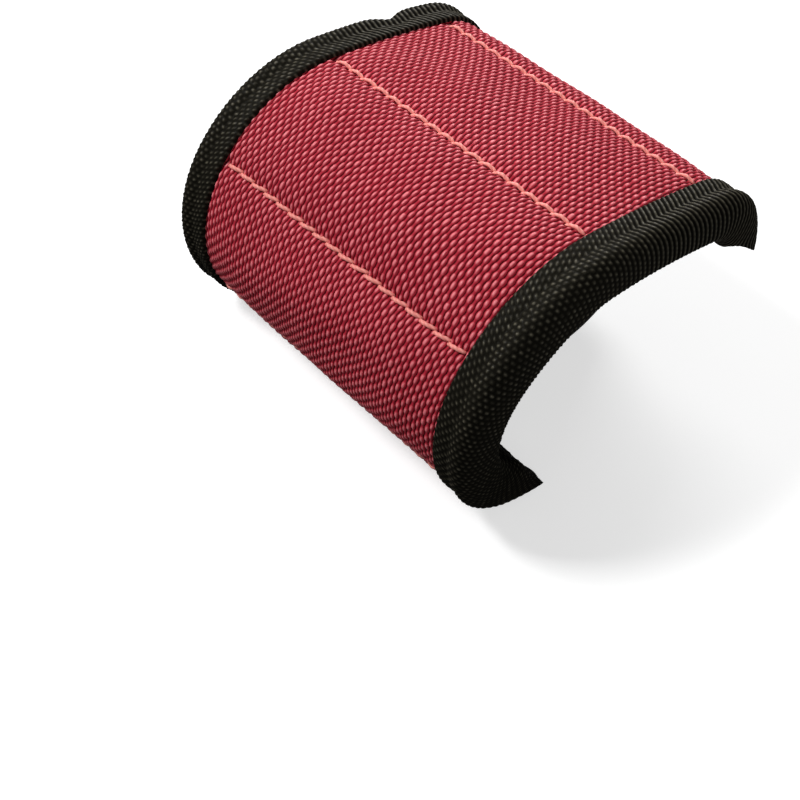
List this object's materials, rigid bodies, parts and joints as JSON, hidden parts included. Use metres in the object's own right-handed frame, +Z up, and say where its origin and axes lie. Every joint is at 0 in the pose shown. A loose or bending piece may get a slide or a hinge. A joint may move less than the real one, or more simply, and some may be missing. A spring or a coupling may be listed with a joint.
{
  "type": "magnetic wristband",
  "caption": "Padded wristband curled for wear: woven cover over disc magnets in sewn pockets, bound edges, mesh lining and a hook-and-loop strap that closes it under the wrist.",
  "frame": {"origin": "on the floor under the middle of the curled band, at the centre of its box", "axes": "+Y along the wrist, +X across the wrist from the tab end to the strap end, +Z up through the top pocket"},
  "size_m": [0.0832, 0.09, 0.0556],
  "materials": {
    "cover_weave": "coarse burgundy nylon weave with salmon stitching",
    "padding_foam": "soft foam sheet",
    "lining_mesh": "black air mesh",
    "binding_tape": "ribbed black binding tape",
    "magnet_plate": "nickel-plated",
    "strap_webbing": "black woven webbing",
    "loop_pile": "fuzzy loop pile",
    "hook_tape": "moulded hooks"
  },
  "bodies": {
    "pocket_1": {"cover_1": "cover_weave", "padding_1": "padding_foam", "lining_1": "lining_mesh", "magnet_1_near": "magnet_plate", "magnet_1_middle": "magnet_plate", "magnet_1_far": "magnet_plate", "near_binding_1": "binding_tape", "far_binding_1": "binding_tape", "left_end_binding": "binding_tape", "loop_tab": "strap_webbing", "loop_pile": "loop_pile"},
    "pocket_2": {"cover_2": "cover_weave", "padding_2": "padding_foam", "lining_2": "lining_mesh", "magnet_2_near": "magnet_plate", "magnet_2_middle": "magnet_plate", "magnet_2_far": "magnet_plate", "near_binding_2": "binding_tape", "far_binding_2": "binding_tape"},
    "pocket_3": {"cover_3": "cover_weave", "padding_3": "padding_foam", "lining_3": "lining_mesh", "magnet_3_near": "magnet_plate", "magnet_3_middle": "magnet_plate", "magnet_3_far": "magnet_plate", "near_binding_3": "binding_tape", "far_binding_3": "binding_tape"},
    "pocket_4": {"cover_4": "cover_weave", "padding_4": "padding_foam", "lining_4": "lining_mesh", "magnet_4_near": "magnet_plate", "magnet_4_middle": "magnet_plate", "magnet_4_far": "magnet_plate", "near_binding_4": "binding_tape", "far_binding_4": "binding_tape"},
    "pocket_5": {"cover_5": "cover_weave", "padding_5": "padding_foam", "lining_5": "lining_mesh", "magnet_5_near": "magnet_plate", "magnet_5_middle": "magnet_plate", "magnet_5_far": "magnet_plate", "near_binding_5": "binding_tape", "far_binding_5": "binding_tape", "right_end_binding": "binding_tape"},
    "closure_strap": {"strap": "strap_webbing"},
    "closure_tip": {"strap_tip": "strap_webbing", "hook_tape": "hook_tape"}
  },
  "joints": [
    {"name": "seam_1_flex", "type": "hinge", "parent": "pocket_1", "child": "pocket_2", "pos_m": [-0.03905, 0, 0.012], "axis": [0, -1, 0], "range_deg": [0, 15]},
    {"name": "seam_2_flex", "type": "hinge", "parent": "pocket_2", "child": "pocket_3", "pos_m": [-0.034, 0, 0.04388], "axis": [0, -1, 0], "range_deg": [0, 18.1]},
    {"name": "seam_3_flex", "type": "hinge", "parent": "pocket_3", "child": "pocket_4", "pos_m": [-0.00352, 0, 0.05527], "axis": [0, -1, 0], "range_deg": [0, 18.1]},
    {"name": "seam_4_flex", "type": "hinge", "parent": "pocket_4", "child": "pocket_5", "pos_m": [0.02861, 0, 0.04903], "axis": [0, -1, 0], "range_deg": [0, 36.1]},
    {"name": "strap_swing", "type": "hinge", "parent": "pocket_5", "child": "closure_strap", "pos_m": [0.03786, 0, 0.02955], "axis": [0, -1, 0], "range_deg": [0, 60.1]},
    {"name": "tip_peel", "type": "hinge", "parent": "closure_strap", "child": "closure_tip", "pos_m": [0.00986, 0, 0.00001], "axis": [0, -1, 0], "range_deg": [0, 60]}
  ],
  "couplings": [
    {"joint": "seam_2_flex", "follows": "seam_1_flex", "ratio": 1.2},
    {"joint": "seam_3_flex", "follows": "seam_1_flex", "ratio": 1.2},
    {"joint": "seam_4_flex", "follows": "seam_1_flex", "ratio": 2.4},
    {"joint": "strap_swing", "follows": "seam_1_flex", "ratio": 4}
  ]
}
